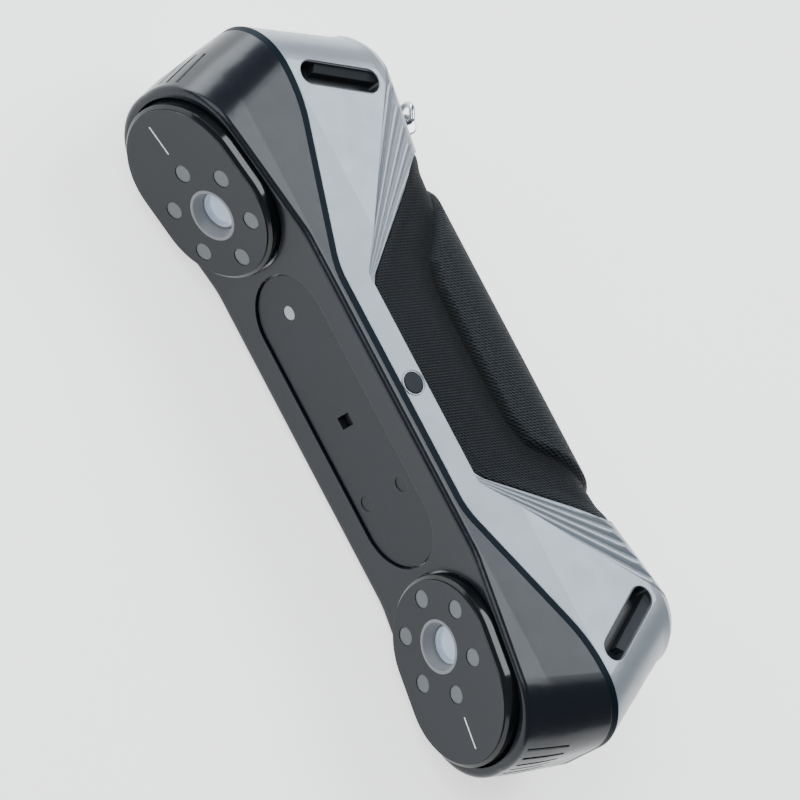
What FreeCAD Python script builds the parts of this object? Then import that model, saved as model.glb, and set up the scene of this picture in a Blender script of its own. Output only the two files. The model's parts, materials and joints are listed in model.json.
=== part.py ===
"""Handheld 3-D scanner: two angled camera heads, a recessed middle panel and a wrapped hand grip."""
import FreeCAD, Part
import math
import os
import Sketcher
from FreeCAD import Placement, Rotation, Vector

# The design frame has its origin midway between the two lenses: +X along the body towards the
# right head, -Y out of the optical front, +Z out of the upper flat side. HOME stands it on its side.

DIMENSIONS = {
    # housing
    "half_length": 108.0, "half_width": 24.2, "seam_corner": 17.0,
    "mid_length": 104.2, "mid_width": 22.6, "mid_corner": 19.5, "mid_y": 9.0,
    "nose_length": 99.4, "nose_width": 22.2, "nose_corner": 21.4, "nose_y": -9.0,
    "tail_length": 95.9, "side_trim": 0.05, "tail_y": 54.4, "back_round": 8.0,
    "wall": 2.0, "face_y": 7.0, "neck_y": 59.4, "core_back": 59.6,
    "seam_y": 27.4, "rail_seam_y": 11.7, "rail_seam_half": 36.0, "seam_bend_x": 81.8, "band_width": 2.0,
    # hand grip
    "core_width": 19.0, "core_inner": 16.8, "sleeve_width": 21.5, "sleeve_back": 62.0,
    "sleeve_round": 13.0, "sleeve_foot_y": 19.0, "sleeve_foot": 27.7, "sleeve_knee": 47.1,
    "sleeve_knee_y": 44.5, "sleeve_top": 56.0, "sleeve_top_y": 54.0, "sleeve_half": 58.0,
    "pleat_floor": 21.0, "pleat_x": 22.2, "pleat_y": 11.8, "pleat_low": 38.9, "pleat_high": 52.7,
    "pleat_count": 5.0, "crease_x": 33.0, "crease_y": 20.5,
    # camera heads
    "lens_x": 64.5, "toe_in": 10.04, "plate_round": 19.35, "plate_inner": 1.33, "plate_outer": 13.0,
    "plate_thick": 1.6, "rim_wall": 1.05, "bezel_depth": 5.0, "bezel_floor": 3.6, "rim_line": 4.0,
    "well_round": 21.1, "led_ring": 13.5, "led_round": 2.5, "led_count": 6.0, "led_depth": 3.35,
    "ring_round": 7.4, "lens_round": 5.5, "lens_depth": 2.5, "board_thick": 1.4,
    "barrel_round": 8.5, "barrel_flange": 10.0, "barrel_end": 20.0, "sensor_board": 26.0,
    # middle panel
    "panel_half": 42.9, "panel_round": 12.95, "panel_y": 7.75, "panel_thick": 2.0, "panel_gap": 0.5,
    "aperture_wide": 3.5, "aperture_tall": 5.0, "marker_x": -32.4, "marker_round": 2.1,
    "laser_x": 21.9, "laser_z": 8.2, "laser_round": 3.6, "dimple_round": 2.2,
    # inside
    "bar_half": 44.0, "bar_width": 13.0, "bar_thick": 3.2, "post_x": 86.0, "post_z": 12.0,
    "post_round": 3.2, "main_half": 58.0, "main_width": 15.0, "main_y": 30.0,
    # controls and fittings
    "button_y": 15.25, "button_round": 3.1, "button_top": 23.35, "key_pitch": 13.0,
    "slot_width": 7.2, "slot_depth": 6.0, "slot_front_x": 88.0, "slot_front_y": 30.3, "slot_back_x": 76.6,
    "slot_back_y": 53.0, "slot_lip": 0.5,
    "ledge_width": 2.7, "ledge_drop": 0.8, "ledge_slope": 1.3, "ledge_start": 5.5,
    "vent_width": 0.9, "vent_pitch": 3.4, "vent_count": 8.0,
    "vent_low": 0.5, "vent_high": 14.0,
    "socket_round": 6.0, "socket_depth": 9.0, "contact_ring": 2.8,
    "tab_x": -64.5, "tab_z": 12.6, "tab_top": 66.6,
    "tab_wide": 6.0, "tab_thick": 4.0, "tab_foot": 59.05,
    "ring_wire": 0.85, "ring_bow": 3.4, "ring_reach": 5.7,
    "ring_lean": 35.0,
}

doc = FreeCAD.newDocument("handheld_scanner")
sheet = doc.addObject("Spreadsheet::Sheet", "Dimensions")
for row, (alias, number) in enumerate(DIMENSIONS.items(), start=1):
    sheet.set(f"A{row}", alias)
    sheet.set(f"B{row}", str(number))
    sheet.setAlias(f"B{row}", alias)
doc.recompute()


def dim(alias):
    return float(sheet.get(alias))


def cell(text):
    """Turn {alias} marks into references to the sheet."""
    return str(text).replace("{", "Dimensions.").replace("}", "")


def number(text):
    return float(sheet.evalExpression(cell(text)))


PLATE_TIP = number("({plate_outer} + {plate_round}) * sin({toe_in} * 1 deg)")
HOME = Placement(Vector(0, (PLATE_TIP - dim("tab_top")) / 2, dim("half_width")), Rotation())
ALONG_Y = Rotation(Vector(1, 0, 0), -90)
NODES = []


def head_frame(side):
    """Frame on a lens centre: local X runs outward along the plate, local Y goes into the body."""
    turn = Rotation(Vector(0, 0, 1), -side * dim("toe_in"))
    flip = Rotation() if side > 0 else Rotation(Vector(0, 1, 0), 180)
    return Placement(Vector(side * dim("lens_x"), 0, 0), turn.multiply(flip))


SIDES = {"left": -1, "right": 1}


def node(item, label, frame=Placement()):
    """Name a finished sub-part and stand it in the part's own frame."""
    item.Label = label
    item.Placement = HOME.multiply(frame).multiply(item.Placement)
    NODES.append(item)
    return item


def solid_feature(label, shape, frame=Placement()):
    feature = doc.addObject("Part::Feature", label)
    feature.Shape = shape
    return node(feature, label, frame)


# ---------------------------------------------------------------- document primitives

def cylinder(name, radius, length, x=0.0, y=0.0, z=0.0, turn=ALONG_Y):
    item = doc.addObject("Part::Cylinder", name)
    item.setExpression("Radius", cell(radius))
    item.setExpression("Height", cell(length))
    item.Placement = Placement(Vector(x, y, z), turn)
    return item


def box(name, low, size):
    item = doc.addObject("Part::Box", name)
    for key, length in zip(("Length", "Width", "Height"), size):
        item.setExpression(key, cell(length))
    item.Placement = Placement(Vector(*low), Rotation())
    return item


def fuse(name, items):
    item = doc.addObject("Part::MultiFuse", name)
    item.Shapes = items
    return item


def group(name, items):
    item = doc.addObject("Part::Compound", name)
    item.Links = items
    return item


def cut(name, base, tool):
    item = doc.addObject("Part::Cut", name)
    item.Base = base
    item.Tool = tool
    return item


# ---------------------------------------------------------------- PartDesign helpers

def plane(body, role):
    return next(item for item in body.Origin.OriginFeatures if item.Role == role)


def sketch_on(body, name, role="XY_Plane", lift=0.0):
    sketch = body.newObject("Sketcher::SketchObject", name)
    sketch.AttachmentSupport = [(plane(body, role), "")]
    sketch.MapMode = "FlatFace"
    sketch.AttachmentOffset = Placement(Vector(0, 0, lift), Rotation())
    return sketch


def tie(sketch, constraint, formula):
    """Add a driving constraint whose value comes from the sheet."""
    index = sketch.addConstraint(constraint)
    name = f"size_{index}"
    sketch.renameConstraint(index, name)
    sketch.setExpression("Constraints." + name, cell(formula))


def circle(sketch, radius, x="0", y="0"):
    place = sketch.addGeometry(Part.Circle(Vector(number(x), number(y), 0), Vector(0, 0, 1), number(radius)))
    tie(sketch, Sketcher.Constraint("Radius", place, number(radius)), radius)
    tie(sketch, Sketcher.Constraint("DistanceX", -1, 1, place, 3, number(x)), x)
    tie(sketch, Sketcher.Constraint("DistanceY", -1, 1, place, 3, number(y)), y)


def stadium(sketch, radius, start, finish):
    """Two half-round ends on the sketch's X axis, joined by straight sides."""
    size = number(radius)
    first = Vector(number(start), 0, 0)
    last = Vector(number(finish), 0, 0)
    up = Vector(0, size, 0)
    normal = Vector(0, 0, 1)
    near = sketch.addGeometry(Part.ArcOfCircle(Part.Circle(first, normal, size), math.pi / 2, 1.5 * math.pi))
    far = sketch.addGeometry(Part.ArcOfCircle(Part.Circle(last, normal, size), -math.pi / 2, math.pi / 2))
    top = sketch.addGeometry(Part.LineSegment(first + up, last + up))
    low = sketch.addGeometry(Part.LineSegment(first - up, last - up))
    joins = ((near, 1, top, 1), (near, 2, low, 1), (far, 2, top, 2), (far, 1, low, 2))
    for arc, arc_end, line, line_end in joins:
        sketch.addConstraint(Sketcher.Constraint("Tangent", arc, arc_end, line, line_end))
    sketch.addConstraint(Sketcher.Constraint("PointOnObject", near, 3, -1))
    tie(sketch, Sketcher.Constraint("DistanceX", -1, 1, near, 3, first.x), start)
    tie(sketch, Sketcher.Constraint("DistanceX", -1, 1, far, 3, last.x), finish)
    tie(sketch, Sketcher.Constraint("Radius", near, size), radius)


def rectangle(sketch, wide, tall, x="0", y="0"):
    """A rectangle centred on x, y."""
    half = Vector(number(wide) / 2, number(tall) / 2, 0)
    middle = Vector(number(x), number(y), 0)
    corners = [middle + Vector(half.x * i, half.y * j, 0) for i, j in ((-1, -1), (1, -1), (1, 1), (-1, 1))]
    edges = []
    for i, corner in enumerate(corners):
        edges.append(sketch.addGeometry(Part.LineSegment(corner, corners[(i + 1) % 4])))
    for i, edge in enumerate(edges):
        sketch.addConstraint(Sketcher.Constraint("Coincident", edge, 2, edges[(i + 1) % 4], 1))
        sketch.addConstraint(Sketcher.Constraint("Vertical" if i % 2 else "Horizontal", edge))
    tie(sketch, Sketcher.Constraint("DistanceX", edges[0], 1, edges[0], 2, 2 * half.x), wide)
    tie(sketch, Sketcher.Constraint("DistanceY", edges[1], 1, edges[1], 2, 2 * half.y), tall)
    tie(sketch, Sketcher.Constraint("DistanceX", -1, 1, edges[0], 1, corners[0].x), f"({x}) - ({wide}) / 2")
    tie(sketch, Sketcher.Constraint("DistanceY", -1, 1, edges[0], 1, corners[0].y), f"({y}) - ({tall}) / 2")


def new_body(name):
    return doc.addObject("PartDesign::Body", name)


def pad(body, sketch, length):
    feature = body.newObject("PartDesign::Pad", sketch.Name + "_pad")
    feature.Profile = sketch
    feature.setExpression("Length", cell(length))
    doc.recompute()
    return feature


def pocket(body, sketch, depth, upwards=True):
    """Cut a sketch into the body, along +Z when upwards, and make sure that it cut something."""
    before = body.Shape.Volume
    feature = body.newObject("PartDesign::Pocket", sketch.Name + "_pocket")
    feature.Profile = sketch
    feature.Reversed = upwards
    feature.setExpression("Length", cell(depth))
    doc.recompute()
    if body.Shape.Volume >= before - 1e-6:
        raise RuntimeError(sketch.Name + " cuts nothing")
    return feature


def ring_of(body, feature, count):
    """Repeat a feature round the body's Z axis."""
    pattern = body.newObject("PartDesign::PolarPattern", feature.Name + "_ring")
    pattern.Originals = [feature]
    pattern.Axis = (plane(body, "Z_Axis"), [""])
    pattern.Angle = 360
    pattern.setExpression("Occurrences", cell(count))
    body.Tip = pattern
    doc.recompute()
    return pattern


def turned(name, points):
    """A body of revolution from (radius, depth) formulas; the profile closes on itself."""
    body = new_body(name)
    sketch = sketch_on(body, name + "_profile", "XZ_Plane")
    places = [Vector(number(radius), number(depth), 0) for radius, depth in points]
    edges = []
    for i, place in enumerate(places):
        edges.append(sketch.addGeometry(Part.LineSegment(place, places[(i + 1) % len(places)])))
    for i, edge in enumerate(edges):
        sketch.addConstraint(Sketcher.Constraint("Coincident", edge, 2, edges[(i + 1) % len(edges)], 1))
    for (radius, depth), edge, place in zip(points, edges, places):
        tie(sketch, Sketcher.Constraint("DistanceX", -1, 1, edge, 1, place.x), radius)
        tie(sketch, Sketcher.Constraint("DistanceY", -1, 1, edge, 1, place.y), depth)
    doc.recompute()
    turn = body.newObject("PartDesign::Revolution", name + "_turn")
    turn.Profile = sketch
    turn.ReferenceAxis = (plane(body, "Z_Axis"), [""])
    turn.Angle = 360
    doc.recompute()
    return body


def depth_frame(x=0.0, y=0.0, z=0.0):
    """Placement that turns a body's own Z axis into the housing, along +Y."""
    return Placement(Vector(x, y, z), ALONG_Y)


# ---------------------------------------------------------------- housing envelope

def rounded_rectangle(half_length, half_width, corner, y):
    """Closed wire of constant y, with four round corners."""
    corner = min(corner, half_width - 0.4)
    edges = []
    for right, up in ((1, 1), (1, -1), (-1, -1), (-1, 1)):
        middle = Vector(right * (half_length - corner), y, up * (half_width - corner))
        reach = corner * math.sqrt(0.5)
        side = middle + Vector(right * corner, 0, 0)
        top = middle + Vector(0, 0, up * corner)
        bulge = middle + Vector(right * reach, 0, up * reach)
        first, last = (top, side) if right == up else (side, top)
        edges.append(Part.Arc(first, bulge, last).toShape())
    joined = []
    for i, edge in enumerate(edges):
        following = edges[(i + 1) % 4]
        joined.append(edge)
        joined.append(Part.makeLine(edge.lastVertex(True).Point, following.firstVertex(True).Point))
    return Part.Wire(joined)


def rounded_path(points, trims):
    """Straight runs through the points, with an arc that starts trims[i] before each inner point."""
    edges = []
    here = points[0]
    for i in range(1, len(points) - 1):
        back = (points[i - 1] - points[i]).normalize()
        ahead = (points[i + 1] - points[i]).normalize()
        half = back.getAngle(ahead) / 2
        inward = (back + ahead).normalize()
        start = points[i] + back * trims[i - 1]
        finish = points[i] + ahead * trims[i - 1]
        middle = points[i] + inward * (trims[i - 1] / math.cos(half) - trims[i - 1] * math.tan(half))
        edges.append(Part.makeLine(here, start))
        edges.append(Part.Arc(start, middle, finish).toShape())
        here = finish
    edges.append(Part.makeLine(here, points[-1]))
    return edges


def mirrored_path(points, trims):
    """Path through (x, y) pairs of the right half, from its far end across to the left one."""
    right = [Vector(x, y, 0) for x, y in points]
    left = [Vector(-x, y, 0) for x, y in reversed(points)]
    return rounded_path(left + right, list(reversed(trims)) + trims)


def region(edges, y_far, low=-40.0, high=40.0):
    """Prism between a path in the XY plane and the line y = y_far."""
    start = edges[0].firstVertex(True).Point
    finish = edges[-1].lastVertex(True).Point
    lid = [Part.makeLine(finish, Vector(finish.x, y_far, 0))]
    lid.append(Part.makeLine(Vector(finish.x, y_far, 0), Vector(start.x, y_far, 0)))
    lid.append(Part.makeLine(Vector(start.x, y_far, 0), start))
    face = Part.Face(Part.Wire(Part.sortEdges(edges + lid)[0]))
    face.translate(Vector(0, 0, low))
    return face.extrude(Vector(0, 0, high - low))


REACH = 130.0
RIM_SLOPE = math.tan(math.radians(dim("toe_in")))


def rim_y(x, inset=0.0):
    """Front edge of a head at x."""
    return dim("rim_line") - RIM_SLOPE * (x - dim("lens_x")) + inset


def front_limit(inset=0.0):
    """Everything behind the front: a flat middle face and two heads that lean forwards."""
    knee = dim("lens_x") - (dim("face_y") - dim("rim_line")) / RIM_SLOPE
    points = [(knee, dim("face_y") + inset), (REACH, rim_y(REACH, inset))]
    return region(mirrored_path(points, [3.0]), 90.0)


def back_limit(inset=0.0):
    """Everything in front of the back, which dips a little between the grip and each head."""
    back = number("{tail_y} + {back_round}")
    neck = dim("neck_y")
    points = [(52.0, neck - inset), (78.0, back - inset), (REACH, back - inset)]
    return region(mirrored_path(points, [8.0, 8.0]), -60.0)


def envelope(inset=0.0):
    """The housing's outside, or its inside when inset by a wall."""
    front = []
    for name in ("nose", "mid"):
        sizes = [dim(f"{name}_{part}") for part in ("length", "width", "corner", "y")]
        front.append(rounded_rectangle(sizes[0] - inset, sizes[1] - inset, sizes[2] - inset, sizes[3]))
    corner = dim("seam_corner") - inset
    widest = rounded_rectangle(dim("half_length") - inset, dim("half_width") - inset, corner, dim("seam_y"))
    front.append(widest)
    broad = dim("half_width") + dim("side_trim") - inset
    rear = [rounded_rectangle(dim("half_length") - inset, broad, corner, dim("seam_y"))]
    for step in range(0, 5):
        angle = math.radians(22.5 * step)
        shrink = (dim("back_round") - inset) * (1 - math.cos(angle)) + inset
        y = dim("tail_y") + (dim("back_round") - inset) * math.sin(angle)
        sizes = [dim("tail_length") - shrink, broad + inset - shrink, dim("seam_corner") - shrink]
        rear.append(rounded_rectangle(*sizes, y))
    half = dim("half_width") - inset
    flats = Part.makeBox(2 * REACH, 120.0, 2 * half, Vector(-REACH, -30.0, -half))
    tail = Part.makeLoft(rear[:2], True, True).fuse(Part.makeLoft(rear[1:], True, True))
    solid = Part.makeLoft(front, True, True).fuse(tail.common(flats))
    return solid.common(front_limit(inset)).common(back_limit(inset)).removeSplitter()


def front_y(x):
    """Front surface of the housing at x."""
    return min(dim("face_y"), rim_y(abs(x)))


def on_front_rim(edge):
    """True for the outer edges of the front surface, which are rounded."""
    first, last = edge.ParameterRange
    places = [edge.valueAt(first + (last - first) * share) for share in (0.02, 0.5, 0.98)]
    if any(abs(place.y - front_y(place.x)) > 0.06 for place in places):
        return False
    return abs(places[1].z) > 15.0 or abs(places[1].x) > 90.0


def stadium_prism(radius, start, finish, low, high):
    """Stadium along X, swept along Y from low to high."""
    up = Vector(0, 0, radius)
    first = Vector(start, low, 0)
    last = Vector(finish, low, 0)
    out = Vector(radius, 0, 0)
    edges = [Part.Arc(first + up, first - out, first - up).toShape(), Part.makeLine(first - up, last - up)]
    edges += [Part.Arc(last - up, last + out, last + up).toShape(), Part.makeLine(last + up, first + up)]
    return Part.Face(Part.Wire(edges)).extrude(Vector(0, high - low, 0))


def head_well(side):
    """Opening in the front of a head that takes its camera unit."""
    well = stadium_prism(dim("well_round"), dim("plate_inner"), dim("plate_outer"), -12.0, 16.0)
    well.Placement = head_frame(side)
    return well


SEAM = [(dim("rail_seam_half"), dim("rail_seam_y")), (dim("seam_bend_x"), dim("seam_y"))]
SEAM.append((REACH, dim("seam_y")))


def behind_seam(shift=0.0):
    path = mirrored_path([(x, y - shift) for x, y in SEAM], [4.0, 8.0])
    return region(path, 90.0)


def front_shell():
    outer = envelope().cut(behind_seam(dim("band_width")))
    rims = [edge for edge in outer.Edges if on_front_rim(edge)]
    outer = outer.makeFillet(1.6, rims)
    shell = outer.cut(envelope(dim("wall")))
    gap = dim("panel_round") + dim("panel_gap")
    centre = dim("panel_half") - dim("panel_round")
    shell = shell.cut(stadium_prism(gap, -centre, centre, -5.0, 12.0))
    for side in SIDES.values():
        shell = shell.cut(head_well(side))
        for slot in vent_slots(side):
            shell = shell.cut(slot)
    return shell


def vent_slots(side):
    """Parallel slots through the end of a head."""
    slots = []
    for index in range(int(dim("vent_count"))):
        offset = index - (dim("vent_count") - 1) / 2
        height = offset * dim("vent_pitch")
        low = Vector(100.0 * side - 10.0, dim("vent_low"), height - dim("vent_width") / 2)
        slots.append(Part.makeBox(20.0, dim("vent_high") - dim("vent_low"), dim("vent_width"), low))
    return slots


def mirror_z(shape):
    return shape.mirror(Vector(0, 0, 0), Vector(0, 0, 1))


def bar(half_width, back, corner, half_length):
    """Bar along X with round back edges, open towards the front."""
    low = Vector(-half_length, 0, -half_width)
    block = Part.makeBox(2 * half_length, back, 2 * half_width, low)
    long = [edge for edge in block.Edges if edge.Length > 2 * half_length - 1]
    edges = [edge for edge in long if edge.CenterOfMass.y > back - 1]
    return block.makeFillet(corner, edges)


def sleeve_outline():
    points = [(dim("sleeve_foot"), dim("sleeve_foot_y")), (dim("sleeve_knee"), dim("sleeve_knee_y"))]
    points += [(dim("sleeve_top"), dim("sleeve_top_y")), (dim("sleeve_half"), 80.0)]
    return region(mirrored_path(points, [7.0, 5.0, 4.0]), 90.0)


def crease_line(shift=0.0):
    """Line where the flat side ends and the pleats begin, moved outwards by shift."""
    slope = math.tan(math.radians(dim("pleat_low")))
    start = dim("sleeve_foot_y") - shift
    foot = dim("crease_x") - (dim("crease_y") - dim("sleeve_foot_y")) / slope + shift * 0.8
    return [(foot, start), (foot + (90.0 - start) / slope, 90.0)]


def pleats(side):
    """Fan of slender cones that spread from the corner of the grip to the back of a head."""
    count = int(dim("pleat_count"))
    spread = (dim("pleat_high") - dim("pleat_low")) / count
    length = 95.0
    radius = length * math.tan(math.radians(spread * 0.56))
    apex = Vector(side * dim("pleat_x"), dim("pleat_y"), dim("pleat_floor"))
    cones = []
    for index in range(count):
        angle = math.radians(dim("pleat_low") + spread * (index + 0.5))
        ahead = Vector(side * math.cos(angle), math.sin(angle), 0)
        cones.append(Part.makeCone(0, radius, length, apex, ahead))
    return cones


def neck_bar():
    """Bar with round back edges that widens from the grip towards each head."""
    narrow = (dim("sleeve_width") + 1.0, dim("neck_y"), 11.5)
    wide = (dim("half_width"), number("{tail_y} + {back_round}"), dim("back_round"))
    sections = [(-125.0, wide), (-80.0, wide), (-48.0, narrow), (48.0, narrow), (80.0, wide), (125.0, wide)]
    wires = []
    for x, (half, back, corner) in sections:
        bend = corner * math.sqrt(0.5)
        centre = (back - corner, half - corner)
        low = Vector(x, -20.0, -half)
        edges = [Part.makeLine(low, Vector(x, centre[0], -half))]
        edges.append(Part.Arc(Vector(x, centre[0], -half), Vector(x, centre[0] + bend, -centre[1] - bend),
                              Vector(x, back, -centre[1])).toShape())
        edges.append(Part.makeLine(Vector(x, back, -centre[1]), Vector(x, back, centre[1])))
        edges.append(Part.Arc(Vector(x, back, centre[1]), Vector(x, centre[0] + bend, centre[1] + bend),
                              Vector(x, centre[0], half)).toShape())
        edges.append(Part.makeLine(Vector(x, centre[0], half), Vector(x, -20.0, half)))
        edges.append(Part.makeLine(Vector(x, -20.0, half), low))
        wires.append(Part.Wire(edges))
    return Part.makeLoft(wires, True, True)


def slot_run():
    """Vector from the front tip to the back tip of the right slot, and its direction."""
    run = Vector(dim("slot_back_x") - dim("slot_front_x"), dim("slot_back_y") - dim("slot_front_y"), 0)
    return run, math.degrees(math.atan2(run.y, run.x))


def slot_prism(side, half_width, low, high):
    """Round-ended slot in the flat side of a head, leaning along its end face."""
    run, angle = slot_run()
    slot = stadium_prism(half_width, half_width, run.Length - half_width, 0, high - low)
    start = Vector(dim("slot_front_x"), dim("slot_front_y"), low)
    turn = Rotation(Vector(0, 0, 1), angle).multiply(Rotation(Vector(1, 0, 0), 90))
    slot.Placement = Placement(start, turn)
    if side < 0:
        return slot.mirror(Vector(0, 0, 0), Vector(1, 0, 0))
    return slot


def socket_axis():
    """Point on the tapered end face of the right head, and the direction straight out of it."""
    return Vector(101.4, 41.0, 0), Vector(0.909, 0.417, 0)


def rear_shell():
    """Rear housing: flat sides, pleated fans, the handle core and the holes for what it carries."""
    back = behind_seam()
    outer = envelope().common(back)
    fan = region(mirrored_path(crease_line(), [1.0]), 95.0, dim("pleat_floor"), 40.0)
    outer = outer.cut(fan).cut(mirror_z(fan))
    waist = neck_bar()
    outer = outer.cut(region(mirrored_path(crease_line(), [1.0]), 95.0).cut(waist))
    ridges = [cone for side in SIDES.values() for cone in pleats(side)]
    ridges += [mirror_z(cone) for cone in ridges]
    for ridge in ridges:
        pocket_side = fan if ridge.CenterOfMass.z > 0 else mirror_z(fan)
        outer = outer.fuse(ridge.common(pocket_side).common(envelope()).common(waist))
    core = bar(dim("core_width"), dim("core_back"), 10.5, 70.0)
    outer = outer.cut(sleeve_outline().cut(core))
    thick_zone = region(mirrored_path(crease_line(2.2), [1.0]), 95.0)
    tunnel = Part.makeBox(240.0, 57.4, 2 * dim("core_inner"), Vector(-120, 0, -dim("core_inner")))
    inner = envelope(dim("wall")).cut(thick_zone.cut(tunnel))
    shell = outer.cut(inner)
    for tool in rear_bosses():
        shell = shell.fuse(tool.common(envelope(0.5)))
    for tool in rear_cuts():
        shell = shell.cut(tool)
    return shell


def screw_places():
    return [(side * dim("post_x"), up * dim("post_z")) for side in SIDES.values() for up in (-1, 1)]


def rear_bosses():
    return [Part.makeCylinder(3.6, 22.0, Vector(x, 41.0, z), Vector(0, 1, 0)) for x, z in screw_places()]


def rear_cuts():
    """Slots, control holes, screw holes, the cable inlet and the seat of the strap tab."""
    tools = []
    for side in SIDES.values():
        slot = slot_prism(side, dim("slot_width") / 2, dim("half_width") - dim("slot_depth"), 30.0)
        tools += [slot, mirror_z(slot)]
    for x, up in control_places():
        tools.append(vertical(dim("button_round") + 0.35, 14.0, 30.0, x, up))
        tools.append(vertical(dim("button_round") + 0.65, 12.0, 20.2, x, up))
    for x, z in screw_places():
        tools.append(Part.makeCylinder(1.35, 30.0, Vector(x, 40.0, z), Vector(0, 1, 0)))
        tools.append(Part.makeCylinder(2.6, 12.0, Vector(x, 56.6, z), Vector(0, 1, 0)))
    mouth, out = socket_axis()
    tools.append(Part.makeCylinder(dim("socket_round") + 1.6, 16.0, mouth - out * 10.0, out))
    wide = dim("tab_wide") + 0.1
    thick = dim("tab_thick") + 0.1
    seat = Vector(dim("tab_x") - wide / 2, dim("tab_foot") - 0.05, dim("tab_z") - thick / 2)
    tools.append(Part.makeBox(wide, 12.0, thick, seat))
    return tools


def control_places():
    """Controls on the rails: one above, three below."""
    return [(0.0, 1)] + [(offset * dim("key_pitch"), -1) for offset in (-1, 0, 1)]


def vertical(radius, low, high, x, up):
    """Cylinder between two heights above the middle plane, or the same below it."""
    start = Vector(x, dim("button_y"), up * low)
    return Part.makeCylinder(radius, high - low, start, Vector(0, 0, up))


def grip_sleeve():
    """Soft wrap round the handle core, open towards the front."""
    outer = bar(dim("sleeve_width"), dim("sleeve_back"), dim("sleeve_round"), 70.0)
    core = bar(dim("core_width") + 0.05, dim("core_back") + 0.05, 10.5, 72.0)
    return outer.cut(core).common(sleeve_outline())


def accent_band():
    ring = envelope().cut(envelope(dim("wall")))
    return ring.common(behind_seam(dim("band_width"))).cut(behind_seam())


solid_feature("front_shell", front_shell())
solid_feature("accent_band", accent_band())
solid_feature("rear_shell", rear_shell())
solid_feature("grip_sleeve", grip_sleeve())


# ---------------------------------------------------------------- camera heads

def lens_plate():
    body = new_body("lens_plate_body")
    outline = sketch_on(body, "plate_outline")
    stadium(outline, "{plate_round}", "{plate_inner}", "{plate_outer}")
    pad(body, outline, "{plate_thick}")
    window = sketch_on(body, "plate_window")
    circle(window, "{ring_round} + 0.05")
    pocket(body, window, "{plate_thick}")
    led = sketch_on(body, "plate_led_hole")
    circle(led, "{led_round} + 0.05", "{led_ring}")
    ring_of(body, pocket(body, led, "{plate_thick}"), "{led_count}")
    groove = sketch_on(body, "plate_groove")
    rectangle(groove, "9", "0.5", "24.3")
    pocket(body, groove, "0.2")
    return body


def lens_bezel():
    """Stadium cup that carries the plate in front and the window board behind."""
    body = new_body("lens_bezel_body")
    outline = sketch_on(body, "bezel_outline", lift=0.15)
    stadium(outline, "{plate_round} + {rim_wall}", "{plate_inner}", "{plate_outer}")
    block = pad(body, outline, "{bezel_depth} - 0.15")
    front = next(f"Face{i}" for i, face in enumerate(block.Shape.Faces, 1) if face.CenterOfMass.z < 0.16)
    chamfer = body.newObject("PartDesign::Chamfer", "bezel_slope")
    chamfer.Base = (block, [front])
    chamfer.ChamferType = "Two distances"
    chamfer.Size = 1.0
    chamfer.Size2 = 1.6
    doc.recompute()
    if chamfer.Shape.BoundBox.XMax > block.Shape.BoundBox.XMax + 1e-6 or not chamfer.Shape.isValid():
        raise RuntimeError("the bezel slope failed")
    seat = sketch_on(body, "bezel_seat")
    stadium(seat, "{plate_round} + 0.03", "{plate_inner}", "{plate_outer}")
    pocket(body, seat, "{plate_thick}")
    tray = sketch_on(body, "bezel_tray", lift=dim("bezel_floor"))
    stadium(tray, "{plate_round} - 0.35", "{plate_inner}", "{plate_outer}")
    pocket(body, tray, "{bezel_depth}")
    window = sketch_on(body, "bezel_window")
    circle(window, "{ring_round} + 0.05")
    pocket(body, window, "{bezel_depth}")
    led = sketch_on(body, "bezel_led_hole")
    circle(led, "{led_round} + 0.05", "{led_ring}")
    ring_of(body, pocket(body, led, "{bezel_depth}"), "{led_count}")
    return body


def led_board():
    body = new_body("led_board_body")
    outline = sketch_on(body, "led_board_outline", lift=dim("bezel_floor"))
    stadium(outline, "{plate_round} - 0.5", "{plate_inner}", "{plate_outer} - 3")
    pad(body, outline, "{board_thick}")
    window = sketch_on(body, "led_board_window")
    circle(window, "{ring_round} + 1.6")
    pocket(body, window, "{bezel_depth} + 1")
    return body


def led_windows(name):
    """Six light pipes, from just under the plate's face to the board."""
    discs = []
    for index in range(int(dim("led_count"))):
        angle = 2 * math.pi * index / dim("led_count")
        x = dim("led_ring") * math.cos(angle)
        z = dim("led_ring") * math.sin(angle)
        discs.append(cylinder(f"{name}_disc", "{led_round}", "{led_depth}", x, 0.2, z))
    return group(name, discs)


def camera_ring():
    """Grey funnel round the front lens."""
    return turned("camera_ring_body", [
        ("{ring_round}", "0"), ("{ring_round}", "{bezel_floor}"), ("{lens_round} + 0.1", "{bezel_floor}"),
        ("{lens_round} + 0.1", "{lens_depth}"), ("{ring_round} - 0.8", "0")])


def camera_barrel():
    return turned("camera_barrel_body", [
        ("0", "{bezel_depth} + 0.1"), ("{lens_round} + 0.05", "{bezel_depth} + 0.1"),
        ("{lens_round} + 0.05", "{bezel_floor}"), ("{ring_round}", "{bezel_floor}"),
        ("{ring_round}", "{bezel_depth} + 0.2"), ("{barrel_round}", "{bezel_depth} + 0.2"),
        ("{barrel_round}", "9.8"), ("{barrel_flange}", "9.8"), ("{barrel_flange}", "12"), ("7", "12"),
        ("7", "{barrel_end}"), ("0", "{barrel_end}")])


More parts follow.
